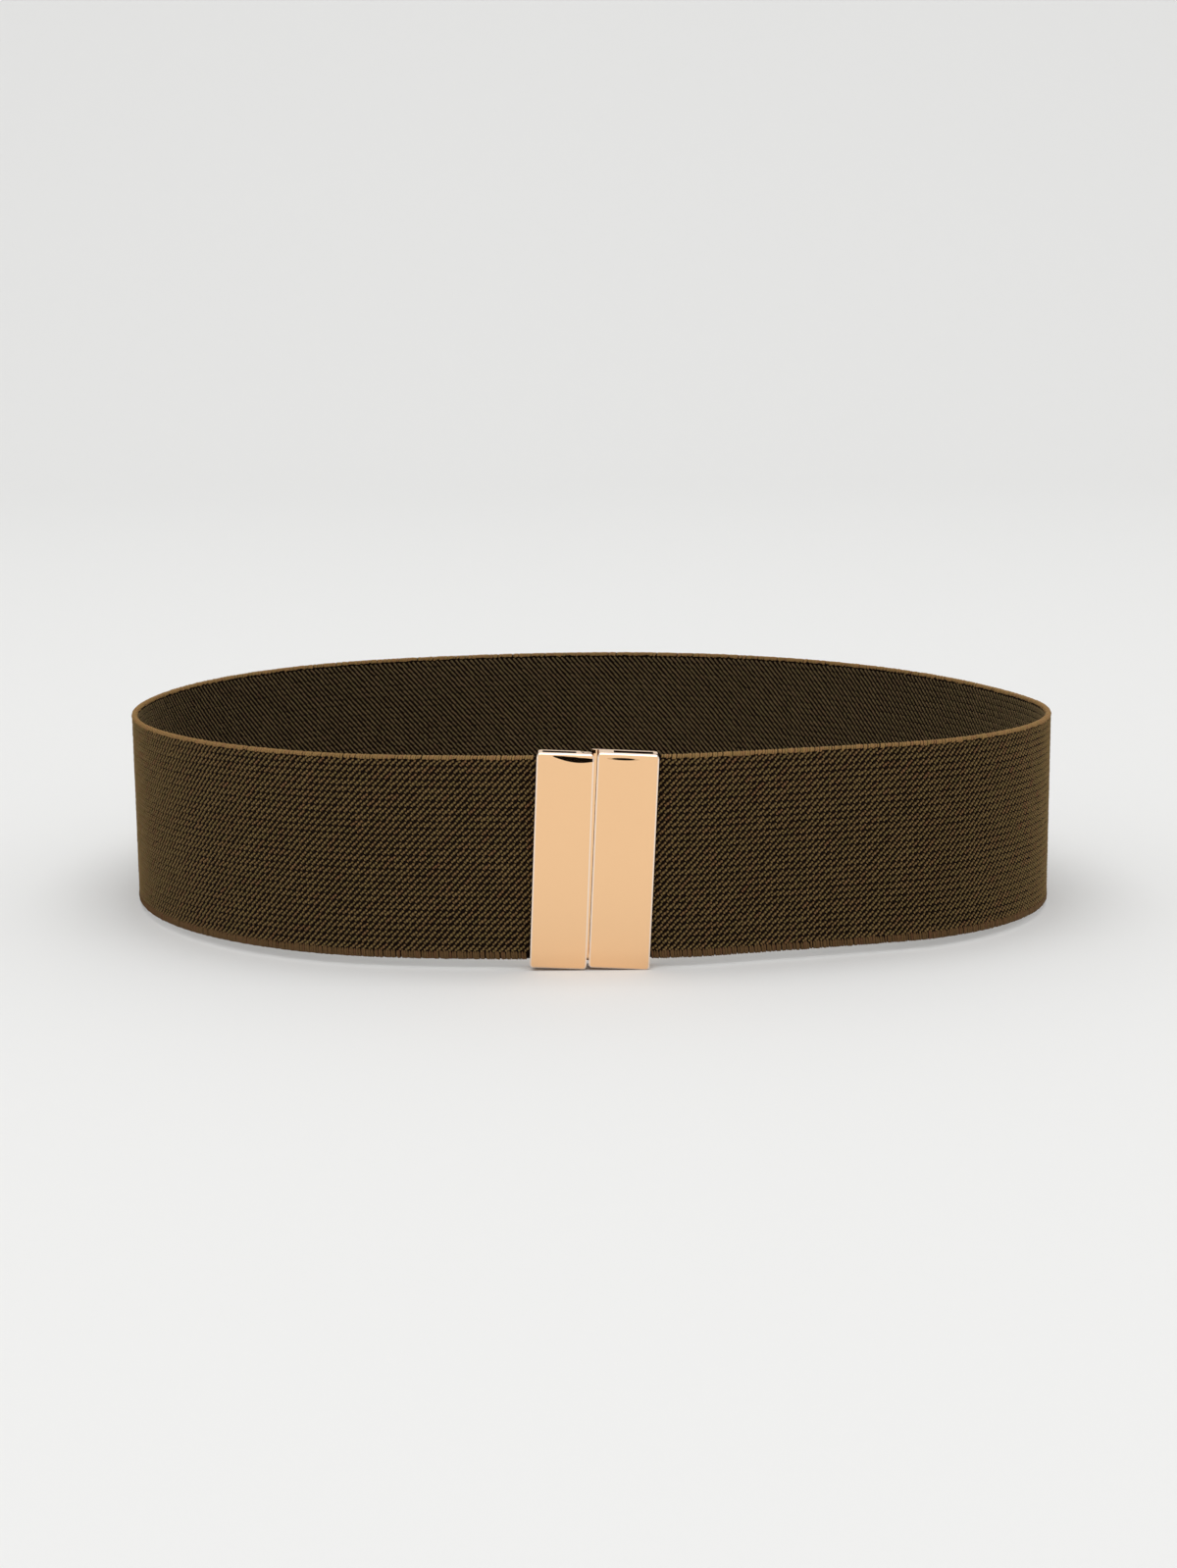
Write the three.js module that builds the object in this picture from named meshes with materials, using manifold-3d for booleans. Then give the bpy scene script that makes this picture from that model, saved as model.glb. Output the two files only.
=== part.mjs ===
// Elastic stretch belt, fastened and standing on its lower edge. Millimetres, +Z up.
// The buckle faces -Y. X runs along the front of the belt, and the origin is under the middle of the whole.

import * as THREE from 'three';
import { mergeVertices } from 'three/addons/utils/BufferGeometryUtils.js';
import Module from 'manifold-3d';

// Webbing
const bandWidth = 50;
const bandThickness = 1.5;
const rimRadius = 0.6;

// Plan of the loop, measured on its outer face
const loopWidth = 242.5;
const loopDepth = 180.8;
const buckleOffset = 1.2;
const flatMargin = 0.4;
const bendRadius = 60;

// Each side of the loop is four arcs that meet smoothly: a bend beside the buckle, the front, the end and the
// back. A row holds the heading in degrees where the first three arcs stop. The back's arc stops at 180.
const sideTurns = {
  left: { bend: 1, front: 9, end: 160 },
  right: { bend: 13, front: 15.5, end: 103.5 },
};

// The buckle is taller than the webbing is wide, so the webbing hangs clear of the ground beside it.
const frontLift = 2.2;
const liftReach = 0.65;

// Folded ends of the webbing
const foldGap = 0.1;
const stitchInset = 0.9;

// Buckle, both halves
const plateOverlap = 2.4;
const plateThickness = 1;
const plateCorner = 0.9;
const plateChamfer = 0.3;
const sheetThickness = 1;
const sheetSetback = 0.3;
const sheetCorner = 1.1;
const clearance = 0.3;
const plateGap = 0.75;

// Catch half
const catchWidth = 13.5;
const catchLean = 2.6;
const catchRise = 0.2;
const webThickness = 1.1;

// Hook half
const hookWidth = 14.5;
const hookLean = 2.9;
const hookExtraDepth = 0.7;
const blockWidth = 3.5;
const lipThickness = 0.8;
const lipReach = 0.6;

// Hook and the channel that it slides into
const channelRadius = 1.5;
const channelWall = 0.55;
const channelDepth = 3.6;
const channelInset = 0.4;
const beadRadius = 0.6;
const tongueThickness = 0.55;
const tongueFoot = 12;

// Fineness of the curves
const pathStep = 4;
const foldSteps = 8;
const rimSteps = 3;
const cornerSteps = 6;
const ringSteps = 32;

const plateHeight = bandWidth + plateOverlap;
const flatLength = catchWidth + plateGap + hookWidth + 2 * flatMargin;
const foldThickness = 2 * bandThickness + foldGap;
const bandFaceDepth = plateThickness + clearance;
const catchDepth = bandFaceDepth + foldThickness + clearance + sheetThickness;
const hookDepth = catchDepth + hookExtraDepth;
const overallDepth = bandFaceDepth + loopDepth;

// The gap between the plates is not in the middle of the buckle, because the halves differ in width.
const gapX = buckleOffset - (hookWidth - catchWidth) / 2;

const { sin, cos, tan, ceil, PI } = Math;
const radians = THREE.MathUtils.degToRad;

const wasm = await Module();
wasm.setup();

function solidFrom(geometry) {
  const bare = new THREE.BufferGeometry();
  bare.setAttribute('position', geometry.getAttribute('position').clone());
  if (geometry.index) bare.setIndex(geometry.index.clone());
  const merged = mergeVertices(bare, 1e-4);
  return new wasm.Manifold(new wasm.Mesh({
    numProp: 3,
    vertProperties: new Float32Array(merged.getAttribute('position').array),
    triVerts: new Uint32Array(merged.index.array),
  }));
}

function geometryFrom(solid) {
  const { vertProperties, triVerts } = solid.getMesh();
  const geometry = new THREE.BufferGeometry();
  geometry.setAttribute('position', new THREE.BufferAttribute(new Float32Array(vertProperties), 3));
  geometry.setIndex(new THREE.BufferAttribute(new Uint32Array(triVerts), 1));
  geometry.computeVertexNormals();
  return geometry;
}

// A closed body through rings of equal length, each a convex loop of points. Seen along the row of rings,
// each ring runs clockwise.
function loft(rings) {
  const count = rings[0].length;
  const faces = [];
  for (let ring = 0; ring + 1 < rings.length; ring += 1) {
    for (let point = 0; point < count; point += 1) {
      const next = (point + 1) % count;
      const a = ring * count + point;
      const b = ring * count + next;
      faces.push(a, b, b + count, a, b + count, a + count);
    }
  }
  const last = (rings.length - 1) * count;
  for (let point = 1; point + 1 < count; point += 1) {
    faces.push(0, point + 1, point);
    faces.push(last, last + point, last + point + 1);
  }
  const geometry = new THREE.BufferGeometry();
  geometry.setAttribute('position', new THREE.Float32BufferAttribute(rings.flat(2), 3));
  geometry.setIndex(faces);
  return geometry;
}

function box(x0, x1, y0, y1, z0, z1) {
  const geometry = new THREE.BoxGeometry(x1 - x0, y1 - y0, z1 - z0);
  return solidFrom(geometry.translate((x0 + x1) / 2, (y0 + y1) / 2, (z0 + z1) / 2));
}

// An upright prism over a plan shape.
function prism(shape, z0, z1) {
  const geometry = new THREE.ExtrudeGeometry(shape, {
    depth: z1 - z0,
    bevelEnabled: false,
    curveSegments: ringSteps,
  });
  return solidFrom(geometry.translate(0, 0, z0));
}

// Corner points of a rectangle with rounded corners, anticlockwise from the lower right corner.
function roundedRectangle(halfWidth, halfHeight, radius, steps) {
  const points = [];
  for (let corner = 0; corner < 4; corner += 1) {
    const start = (corner - 1) * PI / 2;
    const centreX = (halfWidth - radius) * (corner < 2 ? 1 : -1);
    const centreY = (halfHeight - radius) * (corner === 1 || corner === 2 ? 1 : -1);
    for (let step = 0; step <= steps; step += 1) {
      const angle = start + (step / steps) * PI / 2;
      points.push([centreX + radius * cos(angle), centreY + radius * sin(angle)]);
    }
  }
  return points;
}

// The four radii of one side of the loop. They follow from the half width, the depth and the headings where
// the arcs stop, because the side starts on the buckle's flat and stops level at the middle of the back.
function sideRadii(halfWidth, turns) {
  const bend = radians(turns.bend);
  const front = radians(turns.front);
  const end = radians(turns.end);
  const spread = sin(front) - sin(bend);
  const reach = halfWidth - flatLength / 2 - bendRadius * sin(bend);
  const fixedDepth = bendRadius * (1 - cos(bend)) + (reach / spread) * (cos(bend) - cos(front))
    + (halfWidth / sin(end)) * (1 + cos(end));
  const depthPerRadius = (cos(front) - cos(end)) - ((1 - sin(front)) / spread) * (cos(bend) - cos(front))
    - ((1 - sin(end)) / sin(end)) * (1 + cos(end));
  const endRadius = (loopDepth - fixedDepth) / depthPerRadius;
  const frontRadius = (reach - endRadius * (1 - sin(front))) / spread;
  const backRadius = (halfWidth - endRadius * (1 - sin(end))) / sin(end);
  return [
    { radius: bendRadius, stop: bend },
    { radius: frontRadius, stop: front },
    { radius: endRadius, stop: end },
    { radius: backRadius, stop: PI },
  ];
}

// Points of one side on the middle of the webbing's thickness, from the flat to the middle of the back, with
// x measured from the middle of the flat and y from the outer face of the flat.
function sidePath(halfWidth, turns) {
  const points = [];
  let centreX = flatLength / 2;
  let centreY = 0;
  let heading = 0;
  let previousRadius = 0;
  for (const arc of sideRadii(halfWidth, turns)) {
    centreX += (previousRadius - arc.radius) * sin(heading);
    centreY += (arc.radius - previousRadius) * cos(heading);
    const steps = ceil((arc.radius * (arc.stop - heading)) / pathStep);
    for (let step = points.length ? 1 : 0; step <= steps; step += 1) {
      const angle = heading + ((arc.stop - heading) * step) / steps;
      const radius = arc.radius - bandThickness / 2;
      points.push({ x: centreX + radius * sin(angle), y: centreY - radius * cos(angle), heading: angle });
    }
    heading = arc.stop;
    previousRadius = arc.radius;
  }
  return points;
}

// A folded end: out of the loop along the flat, round the fold and back along the inside. foldX is the
// outermost point of the fold and tailX the place where the tail stops.
function foldPath(foldX, tailX) {
  const radius = (bandThickness + foldGap) / 2;
  const middle = bandThickness / 2;
  const side = Math.sign(foldX - tailX);
  const centreX = foldX - side * (radius + middle);
  const points = [];
  for (let step = 0; step <= foldSteps; step += 1) {
    const angle = (step / foldSteps) * PI;
    points.push({
      x: centreX + side * radius * sin(angle),
      y: middle + radius * (1 - cos(angle)),
      heading: angle,
    });
  }
  points.push({ x: tailX, y: middle + 2 * radius, heading: PI });
  return points;
}

// The mirror of a path, walked backwards, so that both sides join into one path round the loop.
function mirrored(points) {
  return points.map((point) => ({ x: -point.x, y: point.y, heading: 2 * PI - point.heading })).reverse();
}

function moved(points, x, y) {
  return points.map((point) => ({ ...point, x: point.x + x, y: point.y + y }));
}

const frontY = -overallDepth / 2;
const bandFaceY = frontY + bandFaceDepth;

// Height of the webbing's lower edge above the ground, full at the buckle and none towards the back.
function liftAt(y) {
  const share = THREE.MathUtils.clamp(1 - (y - bandFaceY) / (liftReach * loopDepth), 0, 1);
  return frontLift * share * share * (3 - 2 * share);
}

// Webbing of full width along a path, with rounded rims and square ends.
function webbing(path) {
  const section = roundedRectangle(bandThickness / 2, bandWidth / 2, rimRadius, rimSteps).reverse();
  return loft(path.map(({ x, y, heading }) => {
    const lift = liftAt(y);
    return section.map(([across, up]) => [
      x + across * sin(heading),
      y - across * cos(heading),
      lift + bandWidth / 2 + up,
    ]);
  }));
}

// Room at each end of a hollow. The buckle leans and the webbing's ends stand upright, so the hollow shifts
// sideways over the webbing's width.
function leanRoom(lean) {
  return (bandWidth / 2) * tan(radians(lean)) + clearance;
}

const catchInnerX = gapX - plateGap / 2;
const hookInnerX = gapX + plateGap / 2;
const catchOuterX = catchInnerX - catchWidth;
const hookOuterX = hookInnerX + hookWidth;
const channelX = catchInnerX - channelInset - channelRadius;
const webX = channelX - channelRadius + channelWall / 2 - webThickness;

// Where the hollows behind the plates start and stop
const catchHollow = { from: catchOuterX + sheetSetback + sheetThickness, to: webX };
const hookHollow = { from: hookInnerX + sheetSetback + blockWidth, to: hookOuterX - sheetSetback - sheetThickness };

function buildBand() {
  const catchRoom = leanRoom(catchLean);
  const hookRoom = leanRoom(hookLean);
  const catchEnd = foldPath(catchHollow.to - catchRoom, catchHollow.from + catchRoom);
  const hookEnd = foldPath(-(hookHollow.from + hookRoom), -(hookHollow.to - hookRoom));
  const right = sidePath(loopWidth / 2 - buckleOffset, sideTurns.right);
  const left = sidePath(loopWidth / 2 + buckleOffset, sideTurns.left);
  left.pop();
  const path = [
    ...moved(mirrored(hookEnd), 0, bandFaceY),
    ...moved(right, buckleOffset, bandFaceY),
    ...moved(mirrored(left), buckleOffset, bandFaceY),
    ...moved(catchEnd, 0, bandFaceY),
  ];
  // The two layers of each end are sewn together, so a narrower strip fills the gap between them.
  const seamBite = bandThickness / 4;
  const seamY = bandFaceY + bandThickness;
  const seam = (x0, x1) => box(
    x0 + stitchInset,
    x1 - stitchInset,
    seamY - seamBite,
    seamY + foldGap + seamBite,
    frontLift + rimRadius,
    frontLift + bandWidth - rimRadius,
  );
  return solidFrom(webbing(path))
    .add(seam(catchHollow.from + catchRoom, catchHollow.to - catchRoom))
    .add(seam(hookHollow.from + hookRoom, hookHollow.to - hookRoom));
}

// A front plate with rounded corners and a narrow chamfer round its face, from x0 to x1.
function frontPlate(x0, x1) {
  const halfWidth = (x1 - x0) / 2;
  const ring = (inset, y) => roundedRectangle(
    halfWidth - inset,
    plateHeight / 2 - inset,
    plateCorner - inset,
    cornerSteps,
  ).map(([x, z]) => [x + (x0 + x1) / 2, frontY + y, z]).reverse();
  return solidFrom(loft([ring(plateChamfer, 0), ring(0, plateChamfer), ring(0, plateThickness)]));
}

// The folded sheet behind a plate: an upright box section whose outer rear corner is rounded.
function sheetSection(innerX, outerX, depth) {
  const outward = Math.sign(outerX - innerX);
  const shape = new THREE.Shape();
  const front = frontY + plateThickness / 2;
  const rear = frontY + depth;
  shape.moveTo(innerX, front);
  shape.lineTo(outerX, front);
  for (let step = 0; step <= cornerSteps; step += 1) {
    const angle = (step / cornerSteps) * PI / 2;
    shape.lineTo(
      outerX - outward * sheetCorner * (1 - cos(angle)),
      rear - sheetCorner * (1 - sin(angle)),
    );
  }
  shape.lineTo(innerX, rear);
  shape.closePath();
  const top = plateHeight / 2 - sheetSetback;
  return prism(shape, -top, top);
}

// An upright bar of round section.
function roundBar(x, y, radius, z0, z1) {
  const geometry = new THREE.CylinderGeometry(radius, radius, z1 - z0, ringSteps);
  return solidFrom(geometry.rotateX(PI / 2).translate(x, y, (z0 + z1) / 2));
}

// Leans a half built upright about the middle of its plate and sets it at its height above the ground.
function leant(solid, middleX, lean, height) {
  return solid.translate([-middleX, 0, 0]).rotate([0, lean, 0]).translate([middleX, 0, height]);
}

// Height of a leaning plate's middle when its lower outer corner just meets the ground.
function standingHeight(width, lean) {
  const angle = radians(lean);
  const up = (plateHeight / 2 - plateCorner) * cos(angle);
  const across = (width / 2 - plateCorner) * sin(angle);
  return up + across + plateCorner;
}

const hookMiddle = (hookInnerX + hookOuterX) / 2;
const catchMiddle = (catchInnerX + catchOuterX) / 2;
const hookHeight = standingHeight(hookWidth, hookLean);
const catchHeight = hookHeight + catchRise;

const windowBack = bandFaceY + bandThickness + clearance;
const windowBottom = frontLift - clearance;
const windowTop = frontLift + bandWidth + clearance;

function buildCatch() {
  const top = plateHeight / 2;
  const rear = frontY + catchDepth - sheetThickness;
  const sheetOuterX = catchOuterX + sheetSetback;
  const channelY = frontY + channelDepth;
  const ring = roundBar(channelX, channelY, channelRadius, -top + sheetSetback, top - sheetSetback);
  const bore = roundBar(channelX, channelY, channelRadius - channelWall, -top, top);
  const mouth = tongueThickness / 2 + clearance;
  const upright = frontPlate(catchOuterX, catchInnerX)
    .add(sheetSection(webX + webThickness, sheetOuterX, catchDepth))
    .add(ring)
    .subtract(box(catchHollow.from, catchHollow.to, frontY + plateThickness, rear, -top, top))
    .subtract(bore)
    .subtract(box(channelX, channelX + 2 * channelRadius, channelY - mouth, channelY + mouth, -top, top));
  const placed = leant(upright, catchMiddle, catchLean, catchHeight);
  const reach = leanRoom(catchLean) + sheetThickness;
  return placed.subtract(box(
    sheetOuterX - reach,
    sheetOuterX + reach,
    frontY + plateThickness,
    windowBack,
    windowBottom,
    windowTop,
  ));
}

function buildHook() {
  const top = plateHeight / 2;
  const rear = frontY + hookDepth - sheetThickness;
  const sheetOuterX = hookOuterX - sheetSetback;
  const upright = frontPlate(hookInnerX, hookOuterX)
    .add(sheetSection(hookInnerX + sheetSetback, sheetOuterX, hookDepth))
    .subtract(box(hookHollow.from, hookHollow.to, frontY + plateThickness, rear, -top, top));
  const channelY = frontY + channelDepth;
  const tongueTop = top - sheetSetback;
  const tongueLow = tongueFoot - catchHeight;
  // The tongue leaves the channel sideways, turns back just clear of it and ends in the lip behind the gap.
  const tongueX = channelX + channelRadius + clearance;
  const tongueFront = channelY - tongueThickness / 2;
  const lipFront = frontY + hookDepth - lipThickness;
  const tongue = roundBar(channelX, channelY, beadRadius, tongueLow, tongueTop)
    .add(box(
      channelX,
      tongueX + tongueThickness,
      tongueFront,
      tongueFront + tongueThickness,
      tongueLow,
      tongueTop,
    ))
    .add(box(
      tongueX,
      tongueX + tongueThickness,
      tongueFront,
      lipFront + lipThickness / 2,
      tongueLow,
      tongueTop,
    ));
  const lip = box(
    catchInnerX - lipReach,
    hookInnerX + sheetSetback + blockWidth / 2,
    lipFront,
    lipFront + lipThickness,
    -tongueTop,
    tongueTop,
  );
  const placed = leant(upright.add(lip), hookMiddle, hookLean, hookHeight);
  // The outer wall is open at the top, so the sewn end slides down into its pocket.
  const reach = leanRoom(hookLean) + sheetThickness;
  const slot = box(
    sheetOuterX - reach,
    sheetOuterX + reach,
    frontY + plateThickness,
    windowBack,
    windowBottom,
    windowTop + plateHeight,
  );
  return placed.subtract(slot).add(leant(tongue, catchMiddle, catchLean, catchHeight));
}

const webbingMaterial = new THREE.MeshStandardMaterial({ color: '#3b3325', roughness: 0.95, metalness: 0 });
const platedMaterial = new THREE.MeshStandardMaterial({ color: '#e3b48c', roughness: 0.12, metalness: 1 });

const belt = new THREE.Group();

function addPiece(name, solid, material) {
  const mesh = new THREE.Mesh(geometryFrom(solid), material);
  mesh.name = name;
  belt.add(mesh);
}

addPiece('elastic_band', buildBand(), webbingMaterial);
addPiece('catch_half', buildCatch(), platedMaterial);
addPiece('hook_half', buildHook(), platedMaterial);

export default belt;
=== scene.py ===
import math
import bpy
import numpy as np
from mathutils import Matrix


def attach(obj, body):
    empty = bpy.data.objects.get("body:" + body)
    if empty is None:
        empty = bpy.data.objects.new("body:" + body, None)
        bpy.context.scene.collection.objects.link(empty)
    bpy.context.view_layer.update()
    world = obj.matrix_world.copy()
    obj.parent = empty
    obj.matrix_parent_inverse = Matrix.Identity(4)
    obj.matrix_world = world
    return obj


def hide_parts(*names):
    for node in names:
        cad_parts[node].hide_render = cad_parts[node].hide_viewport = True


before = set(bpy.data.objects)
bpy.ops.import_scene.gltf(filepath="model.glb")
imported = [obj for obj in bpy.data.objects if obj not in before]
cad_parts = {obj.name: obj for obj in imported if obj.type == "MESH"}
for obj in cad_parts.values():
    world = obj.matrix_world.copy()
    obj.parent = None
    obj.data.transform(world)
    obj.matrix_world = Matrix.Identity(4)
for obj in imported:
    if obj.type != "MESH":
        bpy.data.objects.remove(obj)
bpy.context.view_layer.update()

mm = 0.001
random = np.random.default_rng(7)
scene = bpy.context.scene
scene.view_settings.view_transform = "Standard"

# Small helpers

def toLinear(hexColour):
    # sRGB hex to linear: the foot of the curve is c / 12.92, the rest ((c + 0.055) / 1.055) ** 2.4
    values = [int(hexColour[i:i + 2], 16) / 255 for i in (1, 3, 5)]
    return tuple(c / 12.92 if c <= 0.04045 else ((c + 0.055) / 1.055) ** 2.4 for c in values) + (1.0,)


def addNode(tree, kind, settings=None, links=None):
    node = tree.nodes.new(kind)
    for key, value in (settings or {}).items():
        if isinstance(key, str) and hasattr(node, key):
            setattr(node, key, value)
        else:
            node.inputs[key].default_value = value
    for key, socket in (links or {}).items():
        tree.links.new(socket, node.inputs[key])
    return node


def newMaterial(name, settings):
    material = bpy.data.materials.new(name)
    material.use_nodes = True
    tree = material.node_tree
    tree.nodes.clear()
    shader = addNode(tree, "ShaderNodeBsdfPrincipled", settings)
    addNode(tree, "ShaderNodeOutputMaterial", links={"Surface": shader.outputs[0]})
    return material


def newPiece(name, points, faces, material, smooth=True):
    # points in millimetres, n by 3. faces: a list of arrays, one for each number of corners
    mesh = bpy.data.meshes.new(name)
    corners = np.concatenate([f.ravel() for f in faces]).astype(np.int32)
    sizes = np.concatenate([np.full(len(f), f.shape[1]) for f in faces]).astype(np.int32)
    mesh.vertices.add(len(points))
    mesh.vertices.foreach_set("co", (np.asarray(points) * mm).astype(np.float32).ravel())
    mesh.loops.add(len(corners))
    mesh.loops.foreach_set("vertex_index", corners)
    mesh.polygons.add(len(sizes))
    mesh.polygons.foreach_set("loop_start", np.concatenate([[0], np.cumsum(sizes)[:-1]]).astype(np.int32))
    mesh.polygons.foreach_set("use_smooth", np.full(len(sizes), smooth))
    mesh.update(calc_edges=True)
    mesh.validate()
    mesh.materials.append(material)
    piece = bpy.data.objects.new(name, mesh)
    scene.collection.objects.link(piece)
    return piece


def setAttribute(piece, name, values):
    attribute = piece.data.attributes.new(name, "FLOAT", "POINT")
    attribute.data.foreach_set("value", np.asarray(values, np.float32).ravel())


def setPlies(piece, run, across, count, corners):
    # A UV map in millimetres along and across each of the count yarns, which have that many corners each
    points = np.stack(np.broadcast_arrays(run, across), -1).reshape(-1, 2)
    points = points + np.repeat(random.random((count, 2)) * plyShift, corners, axis=0)
    index = np.zeros(len(piece.data.loops), np.int32)
    piece.data.loops.foreach_get("vertex_index", index)
    uv = piece.data.uv_layers.new(name="ply")
    uv.data.foreach_set("uv", points[index].astype(np.float32).ravel())


# The belt's line, seen from above, in millimetres

belt = {
    "width": 50.0,
    "thickness": 1.5,
    "loopWidth": 242.5,
    "loopDepth": 180.8,
    "buckleOffset": 1.2,
    "bendRadius": 60.0,
    "rightTurns": (13, 15.5, 103.5),
    "leftTurns": (1, 9, 160),
    "lift": 2.2,
    "liftReach": 0.65,
    "catchWidth": 13.5,
    "hookWidth": 14.5,
    "plateGap": 0.75,
    "flatMargin": 0.4,
    "faceDepth": 1.3,
    "foldGap": 0.1,
    "step": 0.4,
    "foldSteps": 30,
    "tailSteps": 24,
}
thickness = belt["thickness"]
flatLength = belt["catchWidth"] + belt["plateGap"] + belt["hookWidth"] + 2 * belt["flatMargin"]
frontY = -(belt["faceDepth"] + belt["loopDepth"]) / 2
faceY = frontY + belt["faceDepth"]
gapX = belt["buckleOffset"] - (belt["hookWidth"] - belt["catchWidth"]) / 2

# Where the webbing folds back inside each half, and where its tail stops, from the solids of the buckle
folds = {"hookFold": 6.441, "hookTail": 12.709, "catchFold": -5.335, "catchTail": -10.440}


def sideArcs(halfWidth, turns):
    # Four tangent arcs: a bend, the front, the end and the back. The side starts level on the flat and is
    # level again at the middle of the back, which fixes the last three radii.
    bend, front, end = np.radians(turns)
    spread = np.sin(front) - np.sin(bend)
    reach = halfWidth - flatLength / 2 - belt["bendRadius"] * np.sin(bend)
    fixed = (belt["bendRadius"] * (1 - np.cos(bend)) + reach / spread * (np.cos(bend) - np.cos(front))
             + halfWidth / np.sin(end) * (1 + np.cos(end)))
    share = ((np.cos(front) - np.cos(end)) - (1 - np.sin(front)) / spread * (np.cos(bend) - np.cos(front))
             - (1 - np.sin(end)) / np.sin(end) * (1 + np.cos(end)))
    endRadius = (belt["loopDepth"] - fixed) / share
    frontRadius = (reach - endRadius * (1 - np.sin(front))) / spread
    backRadius = (halfWidth - endRadius * (1 - np.sin(end))) / np.sin(end)
    return [(belt["bendRadius"], bend), (frontRadius, front), (endRadius, end), (backRadius, math.pi)]


def sideLine(halfWidth, turns):
    # Points x, y and the heading along one side's outer face
    centre, heading, before, parts = np.array([flatLength / 2, 0.0]), 0.0, 0.0, []
    for radius, stop in sideArcs(halfWidth, turns):
        centre = centre + (before - radius) * np.array([math.sin(heading), -math.cos(heading)])
        angle = np.linspace(heading, stop, int(radius * (stop - heading) / belt["step"]) + 2)
        x, y = centre[0] + radius * np.sin(angle), centre[1] - radius * np.cos(angle)
        parts.append(np.stack([x, y, angle], 1))
        heading, before = stop, radius
    return np.concatenate(parts)


def foldLine(foldX, tailX):
    # The outer face of a folded end: half a turn round the fold, then straight back to the tail's end
    radius = thickness + belt["foldGap"] / 2
    side = np.sign(foldX - tailX)
    centreX = foldX - side * radius
    angle = np.linspace(0, math.pi, belt["foldSteps"])
    turn = np.stack([centreX + side * radius * np.sin(angle), radius * (1 - np.cos(angle)), angle], 1)
    back = np.linspace(centreX, tailX, belt["tailSteps"])[1:]
    tail = np.stack([back, np.full(len(back), 2 * radius), np.full(len(back), math.pi)], 1)
    return np.concatenate([turn, tail])


def mirrorLine(line, turn):
    return (line * [-1, 1, -1] + [0, 0, turn])[::-1]


rightSide = sideLine(belt["loopWidth"] / 2 - belt["buckleOffset"], belt["rightTurns"])
leftSide = sideLine(belt["loopWidth"] / 2 + belt["buckleOffset"], belt["leftTurns"])
shift = [belt["buckleOffset"], faceY, 0]
line = np.concatenate([
    mirrorLine(foldLine(-folds["hookFold"], -folds["hookTail"]), 0) + [0, faceY, 0],
    rightSide + shift,
    mirrorLine(leftSide, 2 * math.pi)[1:] + shift,
    foldLine(folds["catchFold"], folds["catchTail"]) + [0, faceY, 2 * math.pi],
])
keep = np.concatenate([[True], np.hypot(*np.diff(line[:, :2], axis=0).T) > 1e-6])
line = line[keep]
along = np.concatenate([[0], np.cumsum(np.hypot(*np.diff(line[:, :2], axis=0).T))])
beltLength = along[-1]
# Lengths along the line where the outer layer starts and stops, and where it leaves the two pockets
outerStart = along[np.argmax(line[:, 2] >= 0)]
outerStop = along[len(line) - 1 - np.argmax(line[::-1, 2] <= 2 * math.pi + 1e-9)]
print("line:", round(float(beltLength), 1), "mm of webbing, loop from", round(float(outerStart), 1), "to",
      round(float(outerStop), 1))


def place(s, inset, z):
    # The point at length s along the belt, inset from its outer face and z above its lower edge
    x, y, heading = (np.interp(s, along, line[:, i]) for i in range(3))
    x, y = x - inset * np.sin(heading), y + inset * np.cos(heading)
    share = np.clip(1 - (y - faceY) / (belt["liftReach"] * belt["loopDepth"]), 0, 1)
    return np.stack(np.broadcast_arrays(x, y, z + belt["lift"] * share * share * (3 - 2 * share)), -1)


# Camera

camera = {
    "place": (-0.0002, -0.7132, 0.1698),
    "pitch": 11.298,
    "yaw": -0.029,
    "roll": -0.530,
    "lens": 61.61,
}
cameraData = bpy.data.cameras.new("camera")
cameraData.lens = camera["lens"]
cameraData.sensor_width = 36
cameraObject = bpy.data.objects.new("camera", cameraData)
scene.collection.objects.link(cameraObject)
cameraObject.matrix_world = (
    Matrix.Translation(camera["place"])
    @ Matrix.Rotation(math.radians(camera["yaw"]), 4, "Z")
    @ Matrix.Rotation(math.radians(90 - camera["pitch"]), 4, "X")
    @ Matrix.Rotation(math.radians(camera["roll"]), 4, "Z")
)
cameraData.clip_start = 0.01
scene.camera = cameraObject

# Materials

# Each yarn's three colours run from olive through khaki to russet. The groove colour is painted shade, mixed
# in where the yarn sits low.
yarn = {
    "outside": ("#96804c", "#a28554", "#a0744d"),
    "inside": ("#7b6d45", "#86724e", "#83694b"),
    "edge": ("#977a4a", "#a37f4f", "#9b734b"),
    # The lower edge's colours are the edge yarn darkened: painted shade on the lower rim
    "shadedLowerEdge": ("#674f30", "#705535", "#6d4c32"),
    "grooveShade": "#22120a",
    "khakiAt": 0.55,
    "roughness": 0.85,
    "specular": 0.15,
    "sheen": 0.1,
    "sheenTint": "#b39b70",
    "crownShare": (0.12, 1.0),
    "plyShare": (0.6, 1.1),
    "plyBump": 0.5,
    "plyDepth": 0.08 * mm,
    "outsidePlies": 3.0,
    "plies": 2.0,
}


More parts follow.
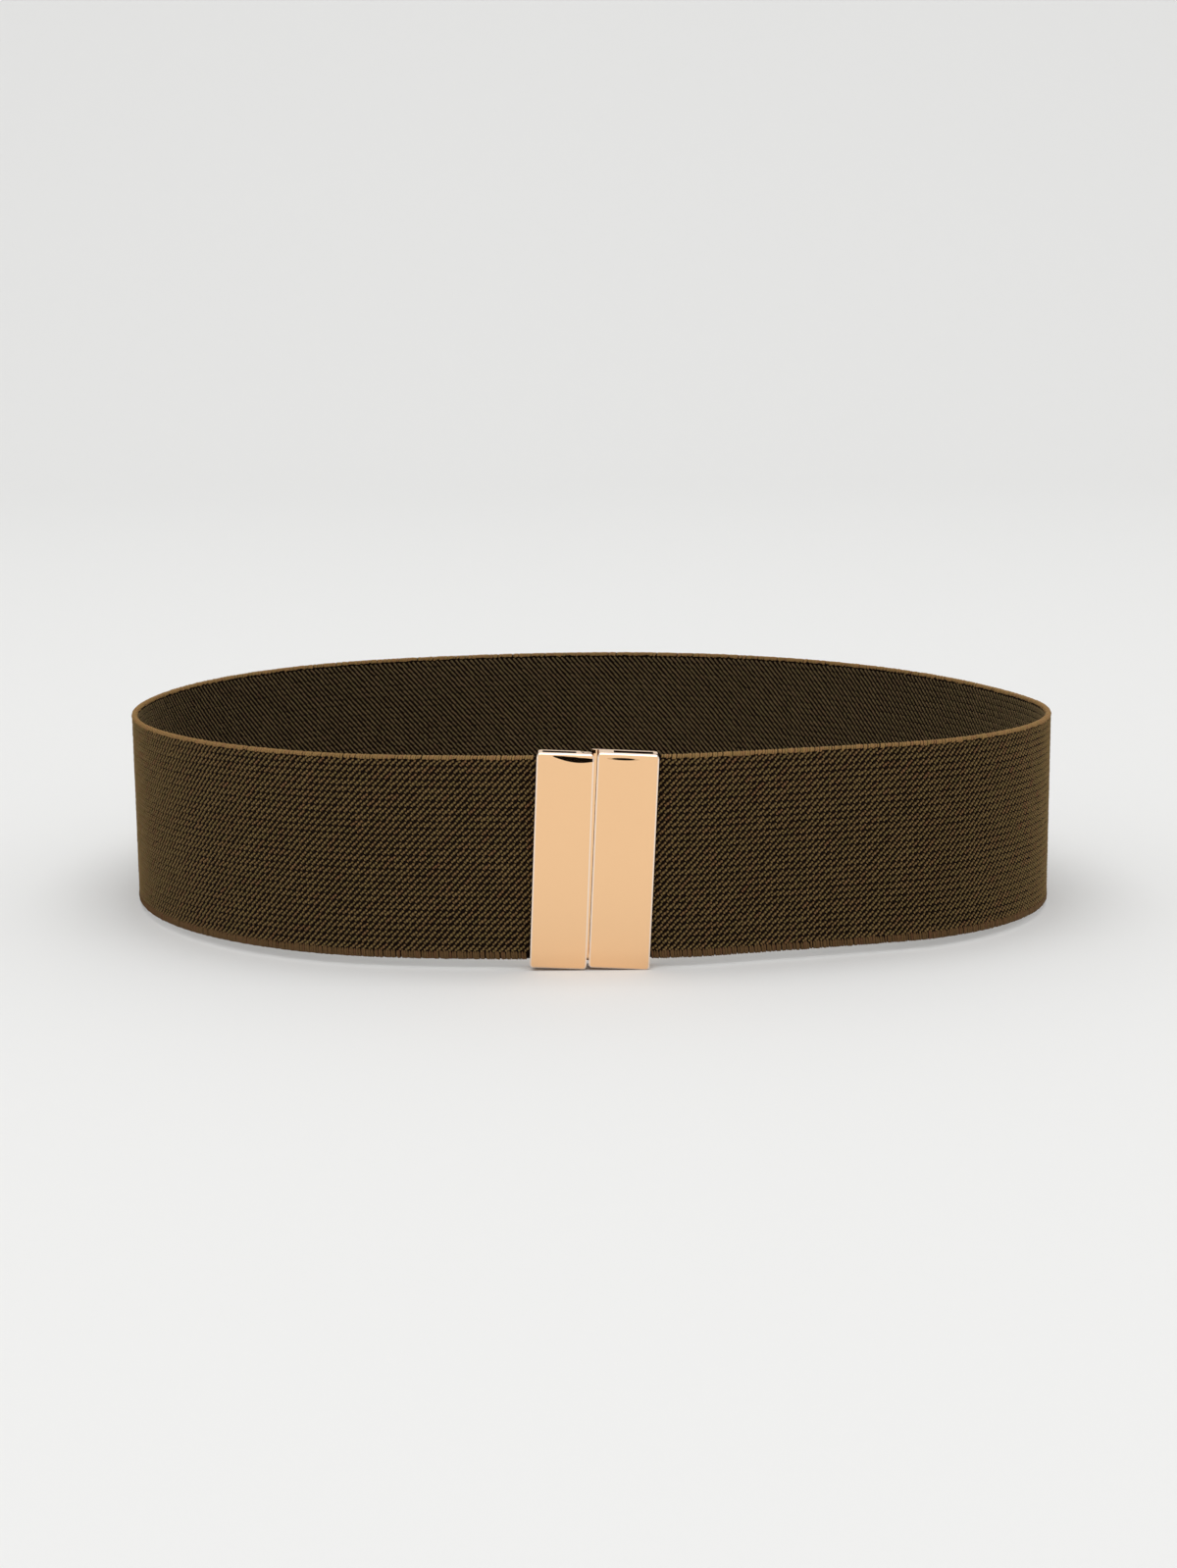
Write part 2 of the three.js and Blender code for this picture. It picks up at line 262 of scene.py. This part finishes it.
def yarnMaterial(name, colours, plies):
    # Spun polyester yarn over rubber: matt, a little fuzzy, each yarn dyed slightly differently
    material = newMaterial(name, {
        "Roughness": yarn["roughness"],
        "IOR": 1.5,
        "Specular IOR Level": yarn["specular"],
        "Sheen Weight": yarn["sheen"],
        "Sheen Roughness": 0.5,
        "Sheen Tint": toLinear(yarn["sheenTint"]),
    })
    tree = material.node_tree
    shader = tree.nodes["Principled BSDF"]
    tone = addNode(tree, "ShaderNodeAttribute", {"attribute_name": "tone"})
    crown = addNode(tree, "ShaderNodeAttribute", {"attribute_name": "crown"})
    ramp = addNode(tree, "ShaderNodeValToRGB", links={"Fac": tone.outputs["Fac"]})
    ramp.color_ramp.elements[0].color = toLinear(colours[0])
    ramp.color_ramp.elements[1].color = toLinear(colours[2])
    ramp.color_ramp.elements.new(yarn["khakiAt"]).color = toLinear(colours[1])
    uv = addNode(tree, "ShaderNodeUVMap", {"uv_map": "ply"})
    wave = addNode(tree, "ShaderNodeTexWave", {
        "wave_type": "BANDS", "bands_direction": "DIAGONAL", "wave_profile": "SIN",
        "Scale": plies, "Distortion": 0.8, "Detail": 1.0, "Detail Scale": 2.0,
    }, {"Vector": uv.outputs["UV"]})
    crownLow, crownHigh = yarn["crownShare"]
    raised = addNode(tree, "ShaderNodeMapRange", {"To Min": crownLow, "To Max": crownHigh},
                     {"Value": crown.outputs["Fac"]})
    plyLow, plyHigh = yarn["plyShare"]
    strand = addNode(tree, "ShaderNodeMapRange", {"To Min": plyLow, "To Max": plyHigh},
                     {"Value": wave.outputs["Fac"]})
    # Painted shade: the colour falls towards the groove colour where the crown value is low, banded by the
    # ply wave
    both = addNode(tree, "ShaderNodeMath", {"operation": "MULTIPLY"},
                   {0: raised.outputs[0], 1: strand.outputs[0]})
    # On a colour Mix node inputs 6 and 7 are its colours A and B, and output 2 is the result
    mix = addNode(tree, "ShaderNodeMix", {
        "data_type": "RGBA", "blend_type": "MIX", 6: toLinear(yarn["grooveShade"]),
    }, {"Factor": both.outputs[0], 7: ramp.outputs["Color"]})
    bump = addNode(tree, "ShaderNodeBump", {"Strength": yarn["plyBump"], "Distance": yarn["plyDepth"]},
                   {"Height": wave.outputs["Fac"]})
    tree.links.new(mix.outputs[2], shader.inputs["Base Color"])
    tree.links.new(bump.outputs[0], shader.inputs["Normal"])
    return material


floatYarn = yarnMaterial("twisted_polyester_floats", yarn["outside"], yarn["outsidePlies"])
innerYarn = yarnMaterial("twisted_polyester_inside", yarn["inside"], yarn["plies"])
edgeYarn = yarnMaterial("polyester_selvedge", yarn["edge"], yarn["plies"])
# The lower selvedge takes the darker copy of the edge yarn, which is painted shade
shadedLowerEdgeYarn = yarnMaterial("polyester_selvedge_painted_shade", yarn["shadedLowerEdge"], yarn["plies"])

# Natural rubber threads and dark ground weft: matt, with hardly any gloss
coreMaterial = newMaterial("rubber_and_ground_weft", {
    "Base Color": toLinear("#150c07"), "Roughness": 0.95, "IOR": 1.52, "Specular IOR Level": 0.05,
})

# Core: the ground weave and its rubber threads, a ribbon just under the floats

core = {
    "relief": 0.42, "rimRoom": 0.35, "radius": 0.4, "every": 1.6, "cornerSteps": 3,
    "foldRoom": 0.5, "foldSteps": 60,
}


def roundedSection(halfAcross, halfUp, radius, steps):
    # A rectangle with quarter circles at its corners, anticlockwise
    angle = np.linspace(0, math.pi / 2, steps + 1)
    corners = [(1, -1, -1), (1, 1, 0), (-1, 1, 1), (-1, -1, 2)]
    parts = [np.stack([x * (halfAcross - radius) + radius * np.cos(angle + turn * math.pi / 2),
                       z * (halfUp - radius) + radius * np.sin(angle + turn * math.pi / 2)], 1)
             for x, z, turn in corners]
    return np.concatenate(parts)


def makeCore():
    # The section is carried along the belt's line: point (s, k) = line at s, moved by section point k
    section = roundedSection(thickness / 2 - core["relief"], belt["width"] / 2 - core["rimRoom"],
                             core["radius"], core["cornerSteps"])
    # The folds need finer steps than the rest
    even = np.linspace(0, beltLength, int(beltLength / core["every"]))
    first, last = outerStart + core["foldRoom"], outerStop - core["foldRoom"]
    s = np.unique(np.round(np.concatenate([
        np.linspace(0, first, core["foldSteps"]),
        even[(even > first) & (even < last)],
        np.linspace(last, beltLength, core["foldSteps"]),
    ]), 4))
    inset, height = thickness / 2 + section[None, :, 0], belt["width"] / 2 + section[None, :, 1]
    points = place(s[:, None], inset, height)
    rings, count = points.shape[:2]
    i, k = np.meshgrid(np.arange(rings - 1), np.arange(count), indexing="ij")
    a, b = i * count + k, i * count + (k + 1) % count
    sides = np.stack([a, a + count, b + count, b], -1).reshape(-1, 4)
    caps = np.stack([np.arange(count), (rings - 1) * count + np.arange(count)[::-1]])
    return newPiece("webbing_core", points.reshape(-1, 3), [sides, caps], coreMaterial)


webbingCore = makeCore()
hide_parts("elastic_band")
print("core made:", len(webbingCore.data.polygons), "faces")

# Floats: the short slanting yarns on both faces

# Stations along one float from its lower end: place, half width and height, as shares of the float's own
outerFloats = {
    "columns": 436, "rows": 28, "bottom": 2.05, "top": 1.0, "angle": 41.0, "length": 2.6, "width": 0.52,
    "height": 0.50, "sink": 0.22, "jitter": 0.03, "lean": -0.025,
    "stations": [
        (-0.38, 1.0, 1.0), (-0.235, 0.64, 0.56), (-0.08, 0.92, 0.95), (0.09, 0.60, 0.54), (0.27, 0.86, 0.9),
    ],
}
innerFloats = {
    "columns": 452, "rows": 28, "bottom": 1.6, "top": 1.4, "angle": 47.0, "length": 2.65, "width": 0.37,
    "height": 0.42, "sink": 0.2, "jitter": 0.03, "lean": 0.0,
    "stations": [(-0.33, 0.95, 0.95), (0.02, 0.85, 0.85), (0.34, 0.95, 0.95)],
}
# How much the floats differ: degrees for the angle, shares for the rest
floatSpread = {"angle": 3.0, "length": 0.04, "width": 0.07, "height": 0.06, "tone": 0.16}
# The crown value is low along a float's foot, which gives it painted shade there. Each yarn's plies start at
# their own place in the wave.
footCrown, plyShift = 0.1, 9


def varied(share, count):
    return 1 + share * random.standard_normal(count)


def makeFloats(name, style, start, stop, inside, material):
    # A float is a short lobed spindle: three-cornered rings between two sunk tips. Its centre is on a grid of
    # columns along the belt and rows across it, and its length slants up along the belt.
    pitch = (outerStop - outerStart) / style["columns"]
    first, last = int(math.ceil((start - outerStart) / pitch)), int((stop - outerStart) / pitch)
    column, row = np.meshgrid(np.arange(first, last), np.arange(style["rows"]), indexing="ij")
    column, row = column.ravel(), row.ravel()
    count = len(column)
    rise = (belt["width"] - style["bottom"] - style["top"]) / style["rows"]
    z = style["bottom"] + (row + 0.5) * rise + style["jitter"] * random.standard_normal(count)
    s = outerStart + (column + 0.5) * pitch + style["jitter"] * random.standard_normal(count)
    s = s + style["lean"] * (z - belt["width"] / 2)
    angle = np.radians(style["angle"] + floatSpread["angle"] * random.standard_normal(count))
    length, width, height = (style[size] * varied(floatSpread[size], count)
                             for size in ("length", "width", "height"))
    # Local points: along, across and up, as shares of length, width and height, then the crown value
    local = [(-0.5, 0, 0, footCrown)]
    for at, wide, high in style["stations"]:
        # The crown value is high on the lobes and low in the necks between them, which paints shade into the
        # necks
        ridge = np.clip(2 * high - 0.9, 0, 1)
        local += [(at, -wide, 0, footCrown), (at, 0, high, ridge), (at, wide, 0, footCrown)]
    local += [(0.5, 0, 0, footCrown)]
    local = np.array(local, float)
    corners = len(local)
    sunk = np.zeros(corners)
    sunk[[0, -1]] = -style["sink"]
    a = local[None, :, 0] * length[:, None]
    b = local[None, :, 1] * width[:, None]
    up = local[None, :, 2] * height[:, None] + sunk[None, :]
    sAll = s[:, None] + a * np.cos(angle)[:, None] - b * np.sin(angle)[:, None]
    zAll = z[:, None] + a * np.sin(angle)[:, None] + b * np.cos(angle)[:, None]
    depth = style["height"] - up
    inset = thickness - depth if inside else depth
    points = place(sAll, inset, zAll).reshape(-1, 3)
    rings = len(style["stations"])
    end = corners - 1
    fan = [[0, 1 + (k + 1) % 3, 1 + k] for k in range(3)]
    fan += [[end, end - 3 + k, end - 3 + (k + 1) % 3] for k in range(3)]
    ring = [[1 + 3 * r + k, 1 + 3 * r + (k + 1) % 3, 4 + 3 * r + (k + 1) % 3, 4 + 3 * r + k]
            for r in range(rings - 1) for k in range(3)]
    fan, ring = np.array(fan), np.array(ring)
    if inside:
        fan, ring = fan[:, ::-1], ring[:, ::-1]
    base = (np.arange(count) * corners)[:, None, None]
    faces = [(fan[None] + base).reshape(-1, 3), (ring[None] + base).reshape(-1, 4)]
    piece = newPiece(name, points, faces, material)
    tone = np.clip(0.5 + floatSpread["tone"] * random.standard_normal(count), 0, 1)
    setAttribute(piece, "tone", np.repeat(tone, corners))
    setAttribute(piece, "crown", np.tile(local[:, 3], count))
    setPlies(piece, a, b, count, corners)
    return piece


middle = (outerStart + outerStop) / 2
hookPocket, catchPocket = 6.6, 5.4
weave = [
    makeFloats("floats_outside_right", outerFloats, outerStart, middle, False, floatYarn),
    makeFloats("floats_outside_left", outerFloats, middle, outerStop, False, floatYarn),
    makeFloats("floats_inside_right", innerFloats, outerStart + hookPocket, middle, True, innerYarn),
    makeFloats("floats_inside_left", innerFloats, middle, outerStop - catchPocket, True, innerYarn),
]
print("floats made:", sum(len(p.data.polygons) for p in weave), "faces")

# Selvedges: yarns wrapped tightly over the upper and lower rims

selvedge = {
    "pitch": 0.62, "radius": 0.36, "topLeg": 1.0, "bottomLeg": 2.1, "sides": 5, "slant": 0.25,
    "topPockets": (9.5, 6.0), "bottomPockets": (7.0, 8.2),
    "archSteps": 6, "knee": 0.6, "tipSink": 0.18, "tipReach": 0.1, "tipSize": 0.55,
}
selvedgeSpread = {"place": 0.03, "radius": 0.1, "slant": 0.08, "leg": 0.12, "tone": 0.25}


def makeSelvedge(name, leg, pockets, top, material):
    # One wrap is a thin tube that climbs the outer face, goes over the rim in half a circle and comes down
    # inside. Point (wrap, station, side) = station's place on that arch, moved round it by the tube's radius.
    # None are made where the ends lie folded inside the buckle.
    start, stop = outerStart + pockets[0], outerStop - pockets[1]
    count = int((stop - start) / selvedge["pitch"])
    s = start + (np.arange(count) + 0.5) * (stop - start) / count
    s = s + selvedgeSpread["place"] * random.standard_normal(count)
    radius = selvedge["radius"] * varied(selvedgeSpread["radius"], count)
    bend = thickness / 2 - selvedge["radius"]
    angle = np.linspace(0, math.pi, selvedge["archSteps"])
    legs = leg - thickness / 2
    knee, tip, sunk = -selvedge["knee"] * legs, -legs - selvedge["tipReach"], bend - selvedge["tipSink"]
    u = np.concatenate([[-sunk], [-bend], -bend * np.cos(angle), [bend], [sunk]])
    v = np.concatenate([[tip], [knee], bend * np.sin(angle), [knee], [tip]])
    nu = np.concatenate([[-1, -1], -np.cos(angle), [1, 1]])
    nv = np.concatenate([[0, 0], np.sin(angle), [0, 0]])
    stations = len(u)
    size = np.ones(stations)
    size[[0, -1]] = selvedge["tipSize"]
    turn = np.arange(selvedge["sides"]) * 2 * math.pi / selvedge["sides"]
    lean = (selvedge["slant"] * np.linspace(-1, 1, stations)[None, :]
            + selvedgeSpread["slant"] * random.standard_normal((count, 1)))
    legVary = selvedgeSpread["leg"] * random.standard_normal((count, 1)) * np.where(v < 0, 1, 0)[None, :]
    across = np.cos(turn)[None, None, :] * radius[:, None, None] * size[None, :, None]
    out = np.sin(turn)[None, None, :] * radius[:, None, None] * size[None, :, None]
    sAll = s[:, None, None] + lean[:, :, None] + across
    inset = thickness / 2 + u[None, :, None] + nu[None, :, None] * out
    height = v[None, :, None] + legVary[:, :, None] + nv[None, :, None] * out
    z = belt["width"] - thickness / 2 + height if top else thickness / 2 - height
    points = place(np.clip(sAll, 0, beltLength), inset, np.broadcast_to(z, sAll.shape)).reshape(-1, 3)
    sides = selvedge["sides"]
    i, k = np.meshgrid(np.arange(stations - 1), np.arange(sides), indexing="ij")
    a, b = i * sides + k, i * sides + (k + 1) % sides
    tube = np.stack([a, b, b + sides, a + sides], -1).reshape(-1, 4)
    caps = np.stack([np.arange(sides)[::-1], (stations - 1) * sides + np.arange(sides)])
    if not top:
        tube, caps = tube[:, ::-1], caps[:, ::-1]
    base = (np.arange(count) * stations * sides)[:, None, None]
    faces = [(tube[None] + base).reshape(-1, 4), (caps[None] + base).reshape(-1, sides)]
    piece = newPiece(name, points, faces, material)
    each = stations * sides
    tone = np.clip(0.5 + selvedgeSpread["tone"] * random.standard_normal(count), 0, 1)
    setAttribute(piece, "tone", np.repeat(tone, each))
    # Painted shade: the crown value is high on the wrap's outward side and low on the side that faces the
    # core
    crown = np.broadcast_to((0.5 + 0.5 * np.sin(turn))[None, :] * np.ones((stations, 1)), (stations, sides))
    setAttribute(piece, "crown", np.tile(crown.ravel(), count))
    run = np.concatenate([[0], np.cumsum(np.hypot(np.diff(u), np.diff(v)))])
    setPlies(piece, np.broadcast_to(run[None, :, None], sAll.shape), across, count, each)
    return piece


selvedges = [
    makeSelvedge("selvedge_top", selvedge["topLeg"], selvedge["topPockets"], True, edgeYarn),
    makeSelvedge("selvedge_bottom", selvedge["bottomLeg"], selvedge["bottomPockets"], False, shadedLowerEdgeYarn),
]
print("selvedges made:", sum(len(p.data.polygons) for p in selvedges), "faces")

for piece in [webbingCore] + weave + selvedges:
    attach(piece, "root")

# Buckle: plated zinc, its front faces with the slight dish that pressing leaves near the top edge

# Rose gold plated over polished zinc: a warm mirror, hardly blurred
plating = newMaterial("polished_rose_gold_plating", {
    "Base Color": toLinear("#fdcf9f"), "Metallic": 1.0, "Roughness": 0.06,
})
# A paler copy of the plating on the bevelled edges: a painted highlight
highlightPlating = newMaterial("plated_bevel_painted_highlight", {
    "Base Color": toLinear("#ffe9d6"), "Metallic": 1.0, "Roughness": 0.06,
})
for name in ("catch_half", "hook_half"):
    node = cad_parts[name]
    for slot in node.material_slots:
        slot.material = plating

face = {
    "height": 52.4, "corner": 0.9, "chamfer": 0.3, "proud": 0.5, "rear": 0.35, "edge": 0.01,
    "sideBevel": 0.12, "endBevel": 0.3,
    "columns": 72, "cornerSteps": 6, "plainRows": 10, "fineFrom": 4.5, "fineRows": 40,
}
catchFace = {"centre": -6.425, "middle": 26.69, "lean": 2.6, "width": 13.5}
hookFace = {"centre": 8.325, "middle": 26.49, "lean": 2.9, "width": 14.5}


# The two reflections below the top edges, in millimetres from the plate's middle and from its top
catchWedge = {
    "tilt": 13.0, "tip": -3.9, "length": 7.2, "longest": 1.4, "rise": 6,
    "top": 0.32, "topFall": 0.4, "topFade": 0.1,
    "foot": 0.35, "footFall": 1.6, "footFade": 0.22, "footPower": 1.2,
}
hookDent = {"tilt": 14.0, "across": -1.2, "acrossSpread": 2.7, "below": 1.25, "belowSpread": 0.24}


def catchTilt(x, below):
    # A wedge below the top edge: it opens from the left, is deepest right of the middle, then narrows
    wedge = catchWedge
    opening = np.clip((x - wedge["tip"]) / wedge["length"], 0, wedge["longest"])
    start = wedge["top"] + wedge["topFall"] * opening
    stop = wedge["foot"] + wedge["footFall"] * np.sin(math.pi / 2 * opening)
    fadeIn = np.clip((below - start) / wedge["topFade"], 0, 1)
    fadeOut = np.clip((stop + wedge["footFade"] - below) / wedge["footFade"], 0, 1) ** wedge["footPower"]
    return wedge["tilt"] * np.clip(opening * wedge["rise"], 0, 1) * fadeIn * fadeOut


def hookTilt(x, below):
    # A long shallow dent, two bell curves multiplied: tilt exp(-across^2 / 2) exp(-down^2 / 2)
    across = (x - hookDent["across"]) / hookDent["acrossSpread"]
    down = (below - hookDent["below"]) / hookDent["belowSpread"]
    return hookDent["tilt"] * np.exp(-0.5 * across ** 2) * np.exp(-0.5 * down ** 2)


def makeFace(name, plate, tilt):
    # Rows of a rounded rectangle: row height and half width come from the corner's quarter circle, and the
    # columns are even shares of the half width. The face stands back by the sum of tan(tilt) up each column.
    quarter = np.linspace(0, math.pi / 2, face["cornerSteps"] + 1)
    halfUp = face["height"] / 2
    fineLow = halfUp - face["fineFrom"]
    plain = np.concatenate([
        np.linspace(-halfUp + face["corner"], fineLow, face["plainRows"])[1:],
        np.linspace(fineLow, halfUp - face["corner"], face["fineRows"] + 1)[1:-1],
    ]) / (halfUp - face["corner"])

    def outline(inset):
        radius = face["corner"] - inset
        straight = halfUp - face["corner"]
        up = np.concatenate([-straight - radius * np.cos(quarter), plain * straight,
                             straight + radius * np.cos(quarter[::-1])])
        side = plate["width"] / 2 - face["corner"] + radius * np.concatenate([
            np.sin(quarter), np.ones(len(plain)), np.sin(quarter[::-1])])
        return up, side

    share = np.linspace(-1, 1, face["columns"] + 1)
    up, side = outline(face["chamfer"])
    x = side[:, None] * share[None, :]
    z = np.broadcast_to(up[:, None], x.shape)
    slope = np.tan(np.radians(tilt(x, halfUp - z)))
    back = np.concatenate([np.zeros((1, x.shape[1])), np.cumsum(
        (slope[1:] + slope[:-1]) / 2 * np.diff(z, axis=0), axis=0)])
    front = np.stack([x, frontY - face["proud"] + back, z], -1)
    rows, columns = x.shape
    index = np.arange(rows * columns).reshape(rows, columns)
    loop = np.concatenate([index[0, :-1], index[:-1, -1], index[-1, :0:-1], index[:0:-1, 0]])
    wideUp, wideSide = outline(-face["edge"])
    wideX, wideZ = wideSide[:, None] * share[None, :], np.broadcast_to(wideUp[:, None], x.shape)
    wide = np.stack([wideX, np.zeros(x.shape), wideZ], -1)
    rim = wide.reshape(-1, 3)[loop]
    grid = front.reshape(-1, 3)
    # The bevel is shallow down the sides and steeper along the top and bottom
    atEnd = np.clip((np.abs(rim[:, 2]) - halfUp + face["corner"]) / face["corner"], 0, 1)
    fall = face["sideBevel"] + (face["endBevel"] - face["sideBevel"]) * atEnd
    edge = rim + np.stack([0 * fall, grid[loop][:, 1] + fall, 0 * fall], 1)
    points = np.concatenate([grid, grid[loop], edge, edge, rim + [0, frontY + face["rear"], 0]])
    around = len(loop)
    k = np.arange(around)
    following = (k + 1) % around
    quads = [np.stack([index[:-1, :-1], index[:-1, 1:], index[1:, 1:], index[1:, :-1]], -1).reshape(-1, 4)]
    for first in (rows * columns, rows * columns + 2 * around):
        outer = first + around
        quads.append(np.stack([first + k, outer + k, outer + following, first + following], -1))
    cap = (rows * columns + 3 * around + k)[None, ::-1]
    a = math.radians(plate["lean"])
    across, high = points[:, 0].copy(), points[:, 2].copy()
    points[:, 0] = plate["centre"] + across * math.cos(a) + high * math.sin(a)
    points[:, 2] = plate["middle"] - across * math.sin(a) + high * math.cos(a)
    piece = newPiece(name, points, [np.concatenate(quads), cap], plating)
    # The bevel ring takes the paler plating, which is the painted highlight
    piece.data.materials.append(highlightPlating)
    slots = np.zeros(len(piece.data.polygons), np.int32)
    slots[len(quads[0]):len(quads[0]) + around] = 1
    piece.data.polygons.foreach_set("material_index", slots)
    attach(piece, "root")
    return piece


faces = [makeFace("catch_face", catchFace, catchTilt), makeFace("hook_face", hookFace, hookTilt)]
print("buckle faces made:", sum(len(p.data.polygons) for p in faces), "faces")

# Studio

studio = {
    "sky": 0.66, "top": 56.0, "topSize": 3.6, "topPlace": (0, -0.8, 3.0), "floor": "#e9e9e8",
    "card": (-400, 400, 190, 760), "cardPlace": -1600,
    "reach": 4000, "bendFrom": 1200, "bendRadius": 900, "bendSteps": 24,
}


def makeSweep():
    # A floor that bends up into a wall: a straight run, a quarter circle, a straight rise, carried along X
    reach, radius = studio["reach"], studio["bendRadius"]
    bend = np.linspace(0, math.pi / 2, studio["bendSteps"])
    y = np.concatenate([[-reach], studio["bendFrom"] + radius * np.sin(bend), [studio["bendFrom"] + radius]])
    z = np.concatenate([[0], radius * (1 - np.cos(bend)), [reach]])
    x = np.linspace(-reach, reach, 3)
    points = np.stack(np.broadcast_arrays(x[:, None], y[None, :], z[None, :]), -1)
    rows, columns = points.shape[:2]
    i, k = np.meshgrid(np.arange(rows - 1), np.arange(columns - 1), indexing="ij")
    a = i * columns + k
    quads = np.stack([a, a + columns, a + columns + 1, a + 1], -1).reshape(-1, 4)
    return points.reshape(-1, 3), quads


# Matt white paper: an even pale floor that takes soft shadows
sweepMaterial = newMaterial("matt_paper_sweep", {
    "Base Color": toLinear(studio["floor"]), "Roughness": 0.9, "Specular IOR Level": 0.1,
})
sweepPoints, sweepFaces = makeSweep()
sweep = newPiece("sweep", sweepPoints, [sweepFaces], sweepMaterial)

world = bpy.data.worlds.new("studio")
scene.world = world
world.use_nodes = True
world.node_tree.nodes.clear()
sky = addNode(world.node_tree, "ShaderNodeBackground", {
    "Color": toLinear("#ffffff"), "Strength": studio["sky"],
})
addNode(world.node_tree, "ShaderNodeOutputWorld", links={"Surface": sky.outputs[0]})

topLight = bpy.data.lights.new("softbox", "AREA")
topLight.shape = "SQUARE"
topLight.size = studio["topSize"]
topLight.energy = studio["top"]
topObject = bpy.data.objects.new("softbox", topLight)
topObject.location = studio["topPlace"]
topObject.visible_camera = False
scene.collection.objects.link(topObject)

# A dark card behind the camera's place, which only reflections see
left, right, low, high = studio["card"]
cardPoints = np.array([[left, studio["cardPlace"], low], [left, studio["cardPlace"], high],
                       [right, studio["cardPlace"], high], [right, studio["cardPlace"], low]])
cardMaterial = newMaterial("matt_black_card", {
    "Base Color": toLinear("#0b0908"), "Roughness": 0.9, "Specular IOR Level": 0.1,
})
card = newPiece("card", cardPoints, [np.array([[0, 1, 2, 3]])], cardMaterial)
card.visible_camera = False
card.visible_diffuse = False
card.visible_shadow = False

print("done")
